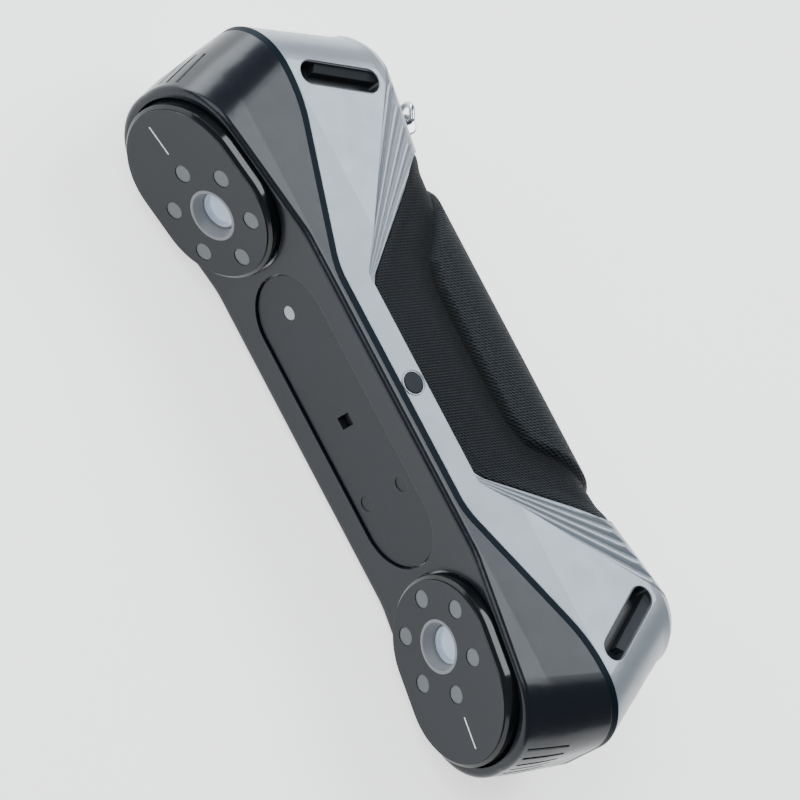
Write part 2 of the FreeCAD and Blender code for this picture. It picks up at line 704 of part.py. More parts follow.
def camera_lens(label, frame):
    """Front element: a shallow dome on a short cylinder."""
    radius = dim("lens_round")
    rise = 0.9
    front = dim("lens_depth")
    base = dim("bezel_depth")
    profile = [Part.Arc(Vector(0, front, 0), Vector(radius * 0.5, front + rise * 0.25, 0),
                        Vector(radius, front + rise, 0)).toShape()]
    profile.append(Part.makeLine(Vector(radius, front + rise, 0), Vector(radius, base, 0)))
    profile.append(Part.makeLine(Vector(radius, base, 0), Vector(0, base, 0)))
    profile.append(Part.makeLine(Vector(0, base, 0), Vector(0, front, 0)))
    solid = Part.Face(Part.Wire(profile)).revolve(Vector(0, 0, 0), Vector(0, 1, 0), 360)
    solid_feature(label, solid, frame)


def camera_board(name):
    low = "{barrel_end}"
    board = box(name + "_plate", (-dim("sensor_board") / 2, number(low), -dim("sensor_board") / 2),
                ("{sensor_board}", "{board_thick}", "{sensor_board}"))
    top = number("{barrel_end} + {board_thick}")
    chip = box(name + "_chip", (-5.0, top, -5.0), ("10", "1.4", "10"))
    plug = box(name + "_plug", (-4.0, top, 7.5), ("8", "2", "3.5"))
    return fuse(name, [board, chip, plug])


for side_name, side_sign in SIDES.items():
    head = head_frame(side_sign)
    node(lens_plate(), "lens_plate_" + side_name, head.multiply(depth_frame()))
    node(lens_bezel(), "lens_bezel_" + side_name, head.multiply(depth_frame()))
    node(led_board(), "led_board_" + side_name, head.multiply(depth_frame()))
    node(camera_ring(), "camera_ring_" + side_name, head.multiply(depth_frame()))
    node(camera_barrel(), "camera_barrel_" + side_name, head.multiply(depth_frame()))
    node(led_windows("led_windows_" + side_name), "led_windows_" + side_name, head)
    node(camera_board("camera_board_" + side_name), "camera_board_" + side_name, head)
    mark = box("mark_" + side_name, (19.9, 0.02, -0.2), ("8.8", "0.18", "0.4"))
    node(mark, "index_mark_" + side_name, head)
    camera_lens("camera_lens_" + side_name, head)


# ---------------------------------------------------------------- middle panel and projector

def window_panel():
    body = new_body("window_panel_body")
    outline = sketch_on(body, "panel_outline")
    stadium(outline, "{panel_round}", "{panel_round} - {panel_half}", "{panel_half} - {panel_round}")
    pad(body, outline, "{panel_thick}")
    mouth = sketch_on(body, "panel_mouth")
    rectangle(mouth, "{aperture_wide}", "{aperture_tall}")
    pocket(body, mouth, "{panel_thick}")
    marker = sketch_on(body, "panel_marker")
    circle(marker, "{marker_round}", "{marker_x}")
    pocket(body, marker, "{panel_thick}")
    for name, up in (("upper", ""), ("lower", "-")):
        dimple = sketch_on(body, "panel_dimple_" + name)
        circle(dimple, "{dimple_round}", "{laser_x}", up + "{laser_z}")
        pocket(body, dimple, "0.25")
    return body


def optical_frame():
    """Cast spine: a middle bar, two leaning head plates and four screw posts."""
    low = number("{panel_y} + {panel_thick}")
    spine = Part.makeBox(2 * dim("bar_half"), dim("bar_thick"), 2 * dim("bar_width"),
                         Vector(-dim("bar_half"), low, -dim("bar_width")))
    for side in SIDES.values():
        plate = stadium_prism(15.5, -8.0, 14.5, 6.6, 9.6)
        barrel = Part.makeCylinder(dim("barrel_round") + 0.02, 20.0, Vector(0, 0, 0), Vector(0, 1, 0))
        plate.Placement = head_frame(side)
        barrel.Placement = head_frame(side)
        spine = spine.fuse(plate)
        for x, z in screw_places():
            if x * side > 0:
                post = Part.makeCylinder(dim("post_round"), 37.5, Vector(x, 3.4, z), Vector(0, 1, 0))
                behind = stadium_prism(40.0, -8.0, 14.5, 6.6, 90.0)
                behind.Placement = head_frame(side)
                spine = spine.fuse(post.common(behind))
        spine = spine.cut(barrel)
    for x, z in screw_places():
        spine = spine.cut(Part.makeCylinder(1.05, 12.0, Vector(x, 30.0, z), Vector(0, 1, 0)))
    holes = [(0.0, 0.0, 4.6), (dim("marker_x"), 0.0, 4.1)]
    holes += [(dim("laser_x"), up * dim("laser_z"), dim("laser_round") + 0.03) for up in (-1, 1)]
    for x, z, radius in holes:
        spine = spine.cut(Part.makeCylinder(radius, 20.0, Vector(x, 5.0, z), Vector(0, 1, 0)))
    return spine.removeSplitter()


node(window_panel(), "window_panel", depth_frame(y=dim("panel_y")))
solid_feature("optical_frame", optical_frame())
panel_back = number("{panel_y} + {panel_thick}")
frame_back = panel_back + dim("bar_thick")
node(cylinder("marker_disc", "{marker_round} - 0.05", "{panel_thick} - 0.2", dim("marker_x"),
              dim("panel_y") + 0.2, 0), "marker_window")
node(cylinder("colour_tube", 4.0, 10.0, dim("marker_x"), panel_back, 0), "color_camera")
node(cylinder("projector_tube", 4.5, "{bar_thick}", 0, panel_back, 0), "projector_lens")
node(box("projector_block", (-12.0, frame_back, -12.0), (24, 14, 24)), "projector_module")
lasers = [cylinder("laser_tube", "{laser_round}", 15.0, dim("laser_x"), panel_back, up * dim("laser_z"))
          for up in (-1, 1)]
node(group("laser_pair", lasers), "laser_modules")


# ---------------------------------------------------------------- electronics

main_y = dim("main_y")
board_back = number("{main_y} + 1.6")
node(box("board_plate", (-dim("main_half"), main_y, -dim("main_width")),
         ("2 * {main_half}", 1.6, "2 * {main_width}")), "main_board")
chips = [box("chip", (x - 7.0, board_back, -7.0), (14, 1.6, 14)) for x in (-40.0, -14.0, 14.0, 40.0)]
node(group("chip_group", chips), "board_chips")
node(box("spreader", (-52.0, board_back + 1.6, -13.0), (104, 3, 26)), "heat_spreader")
standoffs = [cylinder("standoff", 2.2, main_y - frame_back, 39.0 * side, frame_back, 10.4 * up)
             for side in (-1, 1) for up in (-1, 1)]
node(group("standoff_group", standoffs), "board_standoffs")


def ribbon(side):
    """Flat camera cable: three bent runs from the sensor board to the main board."""
    points = [(66.0, 24.4), (60.0, 27.4), (56.5, 29.9)]
    width = Vector(0, 0, 7.0)
    path = [Vector(side * x, y, -3.5) for x, y in points]
    lift = Vector(side * 0.15, -0.2, 0)
    corners = path + [point + lift for point in reversed(path)]
    return Part.Face(Part.makePolygon(corners + corners[:1])).extrude(width)


for side_name, side_sign in SIDES.items():
    solid_feature("camera_flex_" + side_name, ribbon(side_sign))


# ---------------------------------------------------------------- controls

def control_cap(name, x, up):
    """Round key with a retaining flange under the rail."""
    cap = vertical(dim("button_round"), 19.4, dim("button_top"), x, up)
    rim = [edge for edge in cap.Edges if abs(abs(edge.CenterOfMass.z) - dim("button_top")) < 1e-6]
    cap = cap.makeFillet(0.4, rim)
    flange = vertical(dim("button_round") + 0.4, 19.0, 20.0, x, up)
    return solid_feature(name, cap.fuse(flange).removeSplitter())


def control_ring(x, up):
    tube = vertical(dim("button_round") + 0.3, 20.4, 23.2, x, up)
    return tube.cut(vertical(dim("button_round") + 0.05, 20.0, 24.0, x, up))


def switch(x, up):
    low = Vector(x - 2.5, dim("button_y") - 2.5, min(up * 14.2, up * 17.6))
    return Part.makeBox(5.0, 5.0, 3.4, low).fuse(vertical(1.6, 17.0, 18.25, x, up))


CONTROLS = {"side_button": (0.0, 1), "scan_button": (0.0, -1), "plus_button": (dim("key_pitch"), -1),
            "minus_button": (-dim("key_pitch"), -1)}
for control, (place_x, place_up) in CONTROLS.items():
    control_cap(control, place_x, place_up)
lower = [place for place in CONTROLS.values() if place[1] < 0]
solid_feature("side_button_ring", control_ring(0.0, 1))
solid_feature("lower_button_rings", Part.makeCompound([control_ring(x, up) for x, up in lower]))
solid_feature("side_switch", switch(0.0, 1))
solid_feature("lower_switches", Part.makeCompound([switch(x, up) for x, up in lower]))
node(box("side_board_plate", (-7.0, 10.6, 13.0), (14, 11, 1.2)), "side_board")
node(box("lower_board_plate", (-20.0, 10.6, -14.2), (40, 11, 1.2)), "lower_board")


# ---------------------------------------------------------------- outside fittings

def slot_ledge(side):
    """Ledge along the outer wall of a slot; its top slopes down into the pocket."""
    run, angle = slot_run()
    half = dim("slot_width") / 2
    low = dim("half_width") - dim("slot_depth")
    edge = half - dim("ledge_width")
    high = dim("half_width") - dim("ledge_drop")
    across = [(-half - 1.0, low), (-edge, low), (-edge, high - dim("ledge_slope"))]
    across += [(-half, high), (-half - 1.0, high)]
    outline = [Vector(dim("ledge_start"), y, z) for y, z in across]
    ledge = Part.Face(Part.makePolygon(outline + outline[:1])).extrude(Vector(run.Length, 0, 0))
    front = Vector(dim("slot_front_x"), dim("slot_front_y"), 0)
    ledge.Placement = Placement(front, Rotation(Vector(0, 0, 1), angle))
    if side < 0:
        return ledge.mirror(Vector(0, 0, 0), Vector(1, 0, 0))
    return ledge


def slot_insert(side):
    """Black liner of a slot, with its ledge."""
    low = dim("half_width") - dim("slot_depth")
    half = dim("slot_width") / 2
    liner = slot_prism(side, half - 0.03, low + 0.03, dim("half_width") - 0.3)
    hollow = slot_prism(side, half - dim("slot_lip"), low + 0.8, 30.0).cut(slot_ledge(side))
    liner = liner.cut(hollow)
    return [liner, mirror_z(liner)]


def vent_mesh(side):
    """Thin dark sheet behind the end slots."""
    sheet_body = envelope(dim("wall") + 0.05).cut(envelope(dim("wall") + 0.6))
    window = Part.makeBox(24.0, dim("vent_high") - 2.0, 35.0, Vector(100.0 * side - 12.0, 3.5, -17.5))
    return sheet_body.common(window)


def contact_places(mouth, out):
    """Six points on a small circle round the socket's axis."""
    across = Vector(-out.y, out.x, 0)
    angles = [2 * math.pi * index / 6 for index in range(6)]
    up = Vector(0, 0, 1)
    radius = dim("contact_ring")
    return [mouth + (across * math.cos(angle) + up * math.sin(angle)) * radius for angle in angles]


def cable_socket():
    """Blind round inlet; its floor has six wells for the contacts."""
    mouth, out = socket_axis()
    base = mouth - out * dim("socket_depth")
    shell = Part.makeCylinder(dim("socket_round") + 1.55, dim("socket_depth") - 0.2, base, out)
    shell = shell.cut(Part.makeCylinder(dim("socket_round"), dim("socket_depth"), base + out * 1.5, out))
    for place in contact_places(base, out):
        shell = shell.cut(Part.makeCylinder(0.8, 2.0, place + out * 0.6, out))
    return shell


def socket_contacts():
    mouth, out = socket_axis()
    base = mouth - out * dim("socket_depth")
    pads = [Part.makeCylinder(0.55, 0.6, place + out * 0.6, out) for place in contact_places(base, out)]
    return Part.makeCompound(pads)


def shell_screws():
    screws = []
    for x, z in screw_places():
        head = Part.makeCylinder(2.4, 1.8, Vector(x, 56.65, z), Vector(0, 1, 0))
        drive = Part.makeCylinder(1.0, 1.0, Vector(x, 57.6, z), Vector(0, 1, 0))
        shank = Part.makeCylinder(1.0, 24.0, Vector(x, 32.7, z), Vector(0, 1, 0))
        screws.append(head.cut(drive).fuse(shank).removeSplitter())
    return Part.makeCompound(screws)


def strap_tab():
    """Rounded metal tab on the back of the left head, with a cross hole for the ring."""
    wide, thick, foot = dim("tab_wide"), dim("tab_thick"), dim("tab_foot")
    low = Vector(dim("tab_x") - wide / 2, foot, dim("tab_z") - thick / 2)
    block = Part.makeBox(wide, dim("tab_top") - foot, thick, low)
    top = [edge for edge in block.Edges if edge.CenterOfMass.y > dim("tab_top") - 0.1]
    ends = [edge for edge in top if edge.Length < thick + 0.1]
    block = block.makeFillet(wide / 2 - 0.4, ends)
    rims = [edge for edge in block.Edges if edge.CenterOfMass.y > foot + 0.5]
    rims = [edge for edge in rims if edge.BoundBox.ZLength < 0.01]
    block = block.makeFillet(0.6, rims)
    reach = Vector(0, 0, thick)
    return block.cut(Part.makeCylinder(dim("ring_wire") + 0.06, 2 * thick, ring_pivot() - reach))


def ring_pivot():
    return Vector(dim("tab_x") - 0.6, dim("tab_top") - 2.1, dim("tab_z"))


def strap_ring():
    """D-shaped ring: a straight bar through the tab and a round bow that leans away from the back."""
    pivot = ring_pivot()
    wire = dim("ring_wire")
    bow = dim("ring_bow")
    leg = dim("ring_reach") - bow
    slant = math.radians(dim("ring_lean"))
    lean = Vector(-math.cos(slant), math.sin(slant), 0)
    up = Vector(0, 0, bow)
    ring = Part.makeCylinder(wire, 2 * bow, pivot - up)
    for corner in (pivot - up, pivot + up):
        ring = ring.fuse(Part.makeSphere(wire, corner)).fuse(Part.makeCylinder(wire, leg, corner, lean))
    centre = pivot + lean * leg
    section = Part.Face(Part.Wire(Part.makeCircle(wire, centre + up, lean)))
    bend = section.revolve(centre, Vector(0, 0, 1).cross(lean), 180)
    return ring.fuse(bend)


for side_name, side_sign in SIDES.items():
    solid_feature("slot_inserts_" + side_name, Part.makeCompound(slot_insert(side_sign)))
    solid_feature("vent_mesh_" + side_name, vent_mesh(side_sign))
solid_feature("cable_socket", cable_socket())
solid_feature("socket_contacts", socket_contacts())
solid_feature("shell_screws", shell_screws())
solid_feature("strap_tab", strap_tab())
solid_feature("strap_ring", strap_ring())


# ---------------------------------------------------------------- checks and export

doc.recompute()
for item in doc.Objects:
    if "Invalid" in item.State or "Error" in item.State:
        raise RuntimeError(f"{item.Label} failed: {item.State}")
os.makedirs("parts", exist_ok=True)
for item in NODES:
    if item.Shape.isNull() or not item.Shape.isValid() or not item.Shape.Solids:
        raise RuntimeError(f"{item.Label} has no sound solid")
    item.Shape.exportStep(f"parts/{item.Label}.step")
print(len(NODES), "sub-parts written")
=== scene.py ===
"""Handheld 3-D scanner lying on its side: materials, woven grip, light and camera."""
import json
import math

import bmesh
import bpy
import numpy as np
from mathutils import Matrix, Vector


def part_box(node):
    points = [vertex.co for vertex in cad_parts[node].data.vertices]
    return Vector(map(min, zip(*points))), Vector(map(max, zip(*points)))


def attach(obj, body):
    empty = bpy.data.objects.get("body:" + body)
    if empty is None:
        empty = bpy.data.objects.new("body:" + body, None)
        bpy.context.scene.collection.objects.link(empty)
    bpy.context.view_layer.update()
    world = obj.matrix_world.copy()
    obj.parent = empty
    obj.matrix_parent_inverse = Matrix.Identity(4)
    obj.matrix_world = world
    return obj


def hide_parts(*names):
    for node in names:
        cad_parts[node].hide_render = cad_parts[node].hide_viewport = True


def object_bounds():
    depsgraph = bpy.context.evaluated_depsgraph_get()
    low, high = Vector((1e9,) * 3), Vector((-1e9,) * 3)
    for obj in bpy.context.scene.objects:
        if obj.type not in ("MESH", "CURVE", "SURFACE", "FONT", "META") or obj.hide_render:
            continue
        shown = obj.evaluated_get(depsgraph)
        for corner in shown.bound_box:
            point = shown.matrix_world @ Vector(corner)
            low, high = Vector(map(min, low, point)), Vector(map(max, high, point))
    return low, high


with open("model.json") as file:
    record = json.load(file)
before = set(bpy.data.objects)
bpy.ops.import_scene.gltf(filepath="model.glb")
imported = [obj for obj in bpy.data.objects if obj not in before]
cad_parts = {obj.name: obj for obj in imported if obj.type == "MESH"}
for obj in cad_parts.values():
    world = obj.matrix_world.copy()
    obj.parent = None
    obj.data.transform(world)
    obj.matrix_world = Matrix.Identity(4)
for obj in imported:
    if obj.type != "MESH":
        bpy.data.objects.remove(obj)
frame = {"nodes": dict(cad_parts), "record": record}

CAD_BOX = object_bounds()
NODES = frame["nodes"]
MM = 0.001


# ---------------------------------------------------------------- materials

def new_material(name):
    """A material with its principled shader; returns (material, nodes, links, shader)."""
    material = bpy.data.materials.new(name)
    material.use_nodes = True
    nodes = material.node_tree.nodes
    return material, nodes, material.node_tree.links, nodes["Principled BSDF"]


def object_noise(nodes, links, scale, detail=3.0, roughness=0.5, stretch=(1.0, 1.0, 1.0)):
    """Noise over the object's own coordinates, in metres."""
    place = nodes.new("ShaderNodeTexCoord")
    mapping = nodes.new("ShaderNodeMapping")
    mapping.inputs["Scale"].default_value = stretch
    noise = nodes.new("ShaderNodeTexNoise")
    noise.inputs["Scale"].default_value = scale
    noise.inputs["Detail"].default_value = detail
    noise.inputs["Roughness"].default_value = roughness
    links.new(place.outputs["Object"], mapping.inputs["Vector"])
    links.new(mapping.outputs["Vector"], noise.inputs["Vector"])
    return noise.outputs["Fac"]


def remap(nodes, links, source, low, high, start=0.3, finish=0.7):
    """Map a noise value onto the range low to high."""
    node = nodes.new("ShaderNodeMapRange")
    node.inputs["From Min"].default_value = start
    node.inputs["From Max"].default_value = finish
    node.inputs["To Min"].default_value = low
    node.inputs["To Max"].default_value = high
    links.new(source, node.inputs["Value"])
    return node.outputs["Result"]


def blend_colors(nodes, links, factor, first, second):
    node = nodes.new("ShaderNodeMix")
    node.data_type = "RGBA"
    node.inputs["A"].default_value = (*first, 1.0)
    node.inputs["B"].default_value = (*second, 1.0)
    links.new(factor, node.inputs["Factor"])
    return node.outputs["Result"]


def cover(nodes, links, under, factor, color):
    """One colour laid over another node's colour, as far as the factor says."""
    node = nodes.new("ShaderNodeMix")
    node.data_type = "RGBA"
    node.inputs["B"].default_value = (*color, 1.0)
    links.new(under, node.inputs["A"])
    links.new(factor, node.inputs["Factor"])
    return node.outputs["Result"]


def add_bump(nodes, links, shader, height, distance, strength=1.0):
    node = nodes.new("ShaderNodeBump")
    node.inputs["Distance"].default_value = distance
    node.inputs["Strength"].default_value = strength
    links.new(height, node.inputs["Height"])
    links.new(node.outputs["Normal"], shader.inputs["Normal"])
    return node


def object_axes(nodes, links):
    """The object's own coordinates, split: X, Y and Z outputs in metres."""
    place = nodes.new("ShaderNodeTexCoord")
    split = nodes.new("ShaderNodeSeparateXYZ")
    links.new(place.outputs["Object"], split.inputs["Vector"])
    return split.outputs["X"], split.outputs["Y"], split.outputs["Z"]


def maths(nodes, links, operation, *values):
    """One math node; each value is a number or another node's output."""
    node = nodes.new("ShaderNodeMath")
    node.operation = operation
    for socket, value in zip(node.inputs, values):
        if isinstance(value, (int, float)):
            socket.default_value = value
        else:
            links.new(value, socket)
    return node.outputs["Value"]


def rounded_normal(nodes, radius):
    """Normal that turns softly over sharp edges, as a moulding's edges do."""
    node = nodes.new("ShaderNodeBevel")
    node.samples = 6
    node.inputs["Radius"].default_value = radius
    return node.outputs["Normal"]


def edge_mask(nodes, links, soft_normal):
    """1 on sharp edges, 0 on open faces."""
    geometry = nodes.new("ShaderNodeNewGeometry")
    product = nodes.new("ShaderNodeVectorMath")
    product.operation = "DOT_PRODUCT"
    links.new(soft_normal, product.inputs[0])
    links.new(geometry.outputs["Normal"], product.inputs[1])
    return remap(nodes, links, product.outputs["Value"], 1.0, 0.0, 0.86, 0.995)


def finish(name, color, rough, spread=0.04, shift=0.06, grain=2600.0, depth=0.000004, metallic=0.0, coat=0.0,
           coat_rough=0.1, edge=0.00022, edge_pale=0.12, specular=0.5, painted_glow=0.0):
    """Moulded or metal surface: slow changes of colour and gloss, fine grain, soft and paler edges, and an
    optional emission of its own colour as painted light.
    """
    material, nodes, links, shader = new_material(name)
    shader.inputs["Metallic"].default_value = metallic
    shader.inputs["Coat Weight"].default_value = coat
    shader.inputs["Coat Roughness"].default_value = coat_rough
    shader.inputs["Specular IOR Level"].default_value = specular
    dark = tuple(channel * (1 - shift) for channel in color)
    light = tuple(channel * (1 + shift) for channel in color)
    factor = remap(nodes, links, object_noise(nodes, links, 38.0), 0.0, 1.0)
    body = blend_colors(nodes, links, factor, dark, light)
    soft = rounded_normal(nodes, edge)
    # Paler colour laid along sharp edges through the edge mask.
    mask = maths(nodes, links, "MULTIPLY", edge_mask(nodes, links, soft), edge_pale)
    pale_edged = cover(nodes, links, body, mask, tuple(min(1.0, channel * 1.6 + 0.05) for channel in color))
    links.new(pale_edged, shader.inputs["Base Color"])
    # Painted light: the surface emits its own colour at the strength given; only the grey ring round the lens
    # uses it.
    links.new(pale_edged, shader.inputs["Emission Color"])
    shader.inputs["Emission Strength"].default_value = painted_glow
    gloss = remap(nodes, links, object_noise(nodes, links, 160.0), rough - spread, rough + spread)
    links.new(gloss, shader.inputs["Roughness"])
    bump = add_bump(nodes, links, shader, object_noise(nodes, links, grain, 2.0), depth)
    links.new(soft, bump.inputs["Normal"])
    links.new(soft, shader.inputs["Coat Normal"])
    return material


def circuit_board(name):
    """Solder mask over copper tracks: thin straight lines a little paler than the board."""
    material, nodes, links, shader = new_material(name)
    along, _, up = object_axes(nodes, links)
    lines = []
    for axis, pitch in ((along, 1.27 * MM), (up, 1.9 * MM)):
        wave = maths(nodes, links, "PINGPONG", axis, pitch)
        lines.append(maths(nodes, links, "LESS_THAN", wave, 0.16 * MM))
    breaks = maths(nodes, links, "GREATER_THAN", object_noise(nodes, links, 210.0), 0.52)
    tracks = maths(nodes, links, "MULTIPLY", maths(nodes, links, "MAXIMUM", *lines), breaks)
    color = blend_colors(nodes, links, tracks, (0.008, 0.075, 0.035), (0.03, 0.17, 0.07))
    links.new(color, shader.inputs["Base Color"])
    shader.inputs["Roughness"].default_value = 0.38
    add_bump(nodes, links, shader, tracks, 0.00003)
    return material


def coated_lens(name):
    """Pale blue coated front element; the radius from each lens centre gives its rings, among them a painted
    reflection.
    """
    material, nodes, links, shader = new_material(name)
    along, _, up = object_axes(nodes, links)
    mirrored = maths(nodes, links, "ABSOLUTE", along)
    low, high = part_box("camera_lens_right")
    centre = [(a + b) / 2 for a, b in zip(low, high)]
    reach_x = maths(nodes, links, "SUBTRACT", mirrored, centre[0])
    reach_z = maths(nodes, links, "SUBTRACT", up, centre[2])
    squares = maths(nodes, links, "ADD", maths(nodes, links, "POWER", reach_x, 2.0),
                    maths(nodes, links, "POWER", reach_z, 2.0))
    radius = maths(nodes, links, "DIVIDE", maths(nodes, links, "SQRT", squares), (high[2] - low[2]) / 2)
    ramp = nodes.new("ShaderNodeValToRGB")
    # The paler ring from 0.82 to 0.90 is a painted reflection; towards the edge the colour turns dark.
    stops = [(0.0, (0.30, 0.36, 0.46)), (0.45, (0.36, 0.42, 0.52)), (0.74, (0.40, 0.46, 0.55)),
             (0.82, (0.62, 0.67, 0.73)), (0.90, (0.52, 0.56, 0.61)), (0.96, (0.20, 0.22, 0.24)),
             (1.0, (0.10, 0.11, 0.12))]
    ramp.color_ramp.elements[0].position = stops[0][0]
    ramp.color_ramp.elements[0].color = (*stops[0][1], 1.0)
    ramp.color_ramp.elements[1].position = stops[-1][0]
    ramp.color_ramp.elements[1].color = (*stops[-1][1], 1.0)
    for position, color in stops[1:-1]:
        ramp.color_ramp.elements.new(position).color = (*color, 1.0)
    links.new(radius, ramp.inputs["Fac"])
    links.new(ramp.outputs["Color"], shader.inputs["Base Color"])
    links.new(remap(nodes, links, object_noise(nodes, links, 300.0), 0.05, 0.09), shader.inputs["Roughness"])
    shader.inputs["Coat Weight"].default_value = 1.0
    shader.inputs["Coat Roughness"].default_value = 0.02
    shader.inputs["Coat Tint"].default_value = (0.9, 0.95, 1.0, 1.0)
    return material


def frosted(name, color):
    """Diffusing window: even colour, a faint speckle and a soft depth."""
    material, nodes, links, shader = new_material(name)
    speckle = remap(nodes, links, object_noise(nodes, links, 5200.0, 1.0), 0.0, 1.0)
    pale = tuple(channel * 1.12 for channel in color)
    links.new(blend_colors(nodes, links, speckle, color, pale), shader.inputs["Base Color"])
    soft = rounded_normal(nodes, 0.3 * MM)
    shader.inputs["Roughness"].default_value = 0.34
    shader.inputs["Subsurface Weight"].default_value = 0.25
    shader.inputs["Subsurface Radius"].default_value = (0.0006, 0.0006, 0.0007)
    shader.inputs["Subsurface Scale"].default_value = 1.0
    bump = add_bump(nodes, links, shader, object_noise(nodes, links, 5200.0, 1.0), 0.000003)
    links.new(soft, bump.inputs["Normal"])
    return material


# The grip's weave: staggered holes between knitted yarns. Along and across turn the lattice on the surface.
WEAVE_TURN = math.radians(-34.3)
WEAVE_COS = math.cos(WEAVE_TURN)
WEAVE_SIN = math.sin(WEAVE_TURN)
WEAVE_ALONG = 0.86 * MM
WEAVE_ACROSS = 1.12 * MM
WEAVE_DEPTH = 0.15 * MM
GRIP_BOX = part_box("grip_sleeve")
GRIP_FOOT = GRIP_BOX[0][1]
GRIP_BACK = GRIP_BOX[1][1]
GRIP_HALF = (GRIP_BOX[1][2] - GRIP_BOX[0][2]) / 2
GRIP_MID = (GRIP_BOX[1][2] + GRIP_BOX[0][2]) / 2
GRIP_ROUND = 13.0 * MM


def woven(name):
    """Knitted technical cloth over the grip, following its girth round the corners, with painted shade in the
    scooped valley.
    """
    material, nodes, links, shader = new_material(name)

    def act(operation, *values):
        return maths(nodes, links, operation, *values)

    along, back, up = object_axes(nodes, links)
    height = act("ABSOLUTE", act("SUBTRACT", up, GRIP_MID))
    bend_y = GRIP_BACK - GRIP_ROUND
    bend_z = GRIP_HALF - GRIP_ROUND
    flat = act("SUBTRACT", act("MINIMUM", back, bend_y), GRIP_FOOT)
    over_y = act("MAXIMUM", act("SUBTRACT", back, bend_y), 0.0)
    over_z = act("MAXIMUM", act("SUBTRACT", height, bend_z), 0.000001)
    turn = act("MULTIPLY", act("ARCTAN2", over_y, over_z), GRIP_ROUND)
    end = act("SUBTRACT", bend_z, act("MINIMUM", height, bend_z))
    girth = act("ADD", act("ADD", flat, turn), end)
    first = act("ADD", act("MULTIPLY", along, WEAVE_COS), act("MULTIPLY", girth, WEAVE_SIN))
    second = act("SUBTRACT", act("MULTIPLY", girth, WEAVE_COS), act("MULTIPLY", along, WEAVE_SIN))
    wave_a = act("COSINE", act("MULTIPLY", first, math.tau / WEAVE_ALONG))
    wave_b = act("COSINE", act("MULTIPLY", second, math.pi / WEAVE_ACROSS))
    lattice = act("MULTIPLY", wave_a, wave_b)
    holes = remap(nodes, links, lattice, 0.0, 1.0, -0.25, 0.35)
    # Painted shade: a point attribute from the wrap darkens the cloth along the valley of the scoop.
    valley_shade = nodes.new("ShaderNodeAttribute")
    valley_shade.attribute_name = "valley_shade"
    yarn = remap(nodes, links, object_noise(nodes, links, 900.0, 4.0, 0.6), 0.0, 1.0, 0.35, 0.65)
    strands = blend_colors(nodes, links, yarn, (0.016, 0.019, 0.0225), (0.040, 0.045, 0.051))
    knit = cover(nodes, links, strands, holes, (0.0006, 0.0008, 0.001))
    shaded = cover(nodes, links, knit, valley_shade.outputs["Fac"], (0.0012, 0.0014, 0.0017))
    links.new(shaded, shader.inputs["Base Color"])
    links.new(remap(nodes, links, yarn, 0.52, 0.72, 0.0, 1.0), shader.inputs["Roughness"])
    shader.inputs["Specular IOR Level"].default_value = 0.12
    shader.inputs["Sheen Weight"].default_value = 0.05
    shader.inputs["Sheen Roughness"].default_value = 0.45
    fibres = object_noise(nodes, links, 6500.0, 3.0, 0.6, (1.0, 0.35, 0.35))
    relief = act("ADD", act("MULTIPLY", lattice, -0.5), act("MULTIPLY", fibres, 0.6))
    add_bump(nodes, links, shader, relief, 0.00012, 0.7)
    return material


MATERIALS = {
    "shell_gloss": finish("shell_gloss", (0.005, 0.0068, 0.0105), 0.25, 0.02, specular=0.30),
    "band": finish("band", (0.0032, 0.0080, 0.0130), 0.45, 0.03, specular=0.06),
    "silver": finish("silver", (0.245, 0.270, 0.297), 0.34, 0.03, grain=3200.0, metallic=0.32,
                     edge=0.0004, edge_pale=0.25),
    "sleeve": woven("sleeve"),
    "bezel": finish("bezel", (0.005, 0.006, 0.007), 0.12, 0.02, coat=0.15, coat_rough=0.05, specular=0.26),
    "plate": finish("plate", (0.0125, 0.0140, 0.0172), 0.30, 0.02, specular=0.22),
    "mark": finish("mark", (0.75, 0.76, 0.77), 0.5),
    "led_window": frosted("led_window", (0.066, 0.075, 0.081)),
    # Painted light: the grey ring round the lens emits its own colour to even out the shade in its recess.
    "ring_grey": finish("ring_grey", (0.085, 0.092, 0.100), 0.42, painted_glow=0.9),
    "lens_glass": coated_lens("lens_glass"),
    "panel": finish("panel", (0.0125, 0.0140, 0.0172), 0.32, 0.02, specular=0.22),
    "marker_glass": frosted("marker_glass", (0.26, 0.28, 0.30)),
    "black_metal": finish("black_metal", (0.02, 0.02, 0.022), 0.35, metallic=0.8),
    "cast_metal": finish("cast_metal", (0.42, 0.43, 0.44), 0.45, metallic=1.0, depth=0.00002, grain=900.0),
    "board": circuit_board("board"),
    "chip": finish("chip", (0.015, 0.015, 0.017), 0.5),
    "fin_metal": finish("fin_metal", (0.6, 0.61, 0.62), 0.35, metallic=1.0),
    "brass": finish("brass", (0.6, 0.42, 0.15), 0.3, metallic=1.0),
    "flex": finish("flex", (0.35, 0.2, 0.04), 0.4),
    "button": finish("button", (0.010, 0.0135, 0.018), 0.5, grain=4200.0, depth=0.00001, specular=0.15),
    "light_ring": finish("light_ring", (0.40, 0.43, 0.46), 0.34, metallic=0.4),
    "slot_black": finish("slot_black", (0.026, 0.030, 0.034), 0.38, specular=0.3),
    "steel": finish("steel", (0.5, 0.5, 0.5), 0.35, metallic=1.0),
    "strap_metal": finish("strap_metal", (0.42, 0.435, 0.46), 0.18, metallic=1.0, edge=0.0004),
    "contact": finish("contact", (0.75, 0.58, 0.2), 0.25, metallic=1.0),
}
SLOT_OF = {entry["node"]: entry["material_slot"] for entry in frame["record"]["subparts"]}
for name, item in NODES.items():
    item.data.materials.clear()
    item.data.materials.append(MATERIALS[SLOT_OF[name]])


# ---------------------------------------------------------------- woven grip

GRIP_CLEAR = 0.15 * MM
GRIP_WALL = 2.2 * MM
